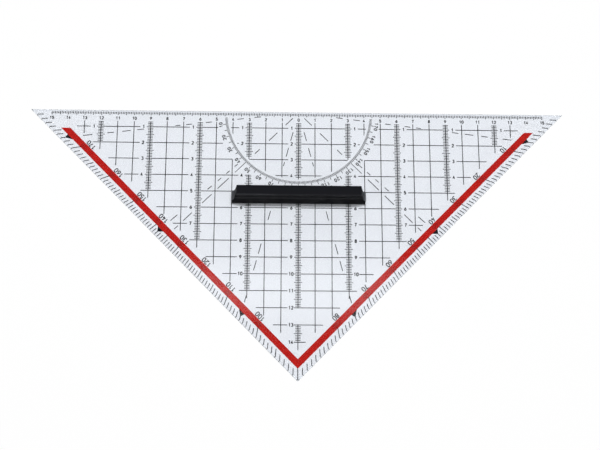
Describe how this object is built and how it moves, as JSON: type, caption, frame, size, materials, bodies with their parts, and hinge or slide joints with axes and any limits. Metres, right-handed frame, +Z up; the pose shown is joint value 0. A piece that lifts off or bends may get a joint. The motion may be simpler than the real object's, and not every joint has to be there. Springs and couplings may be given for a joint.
{
  "type": "drafting triangle",
  "caption": "Clear 45 degree set square with a centimetre grid, protractor and degree scales printed underneath, a red band along the legs and a black lift-off grip bar.",
  "frame": {"origin": "the zero mark: the middle of the long edge, on the underside", "axes": "+X along the long edge to the right as the numbers read, +Y out across the long edge, +Z up through the plate towards the grip"},
  "size_m": [0.325, 0.1625, 0.021],
  "materials": {
    "clear_sheet": "clear polished acrylic",
    "black_print": "printed ink film",
    "red_print": "printed ink film",
    "black_moulding": "fine satin moulding"
  },
  "bodies": {
    "plate": {"triangle_plate": "clear_sheet", "red_band": "red_print", "pointers_7_deg": "black_print", "pointers_42_deg": "black_print", "pointers_75_deg": "black_print", "edge_rule": "black_print", "left_leg_degrees": "black_print", "right_leg_degrees": "black_print", "centre_rule": "black_print", "inner_rules": "black_print", "outer_rules": "black_print", "grid_uprights": "black_print", "grid_crosslines": "black_print", "protractor_arc": "black_print", "rays_7_deg": "black_print", "rays_42_deg": "black_print", "rays_45_deg": "black_print", "rays_75_deg": "black_print"},
    "grip": {"grip_bar": "black_moulding", "left_stud": "black_moulding", "right_stud": "black_moulding"}
  },
  "joints": [
    {"name": "grip_lift", "type": "slide", "parent": "plate", "child": "grip", "axis": [0, 0, 1], "range_m": [0, 0.02]}
  ]
}
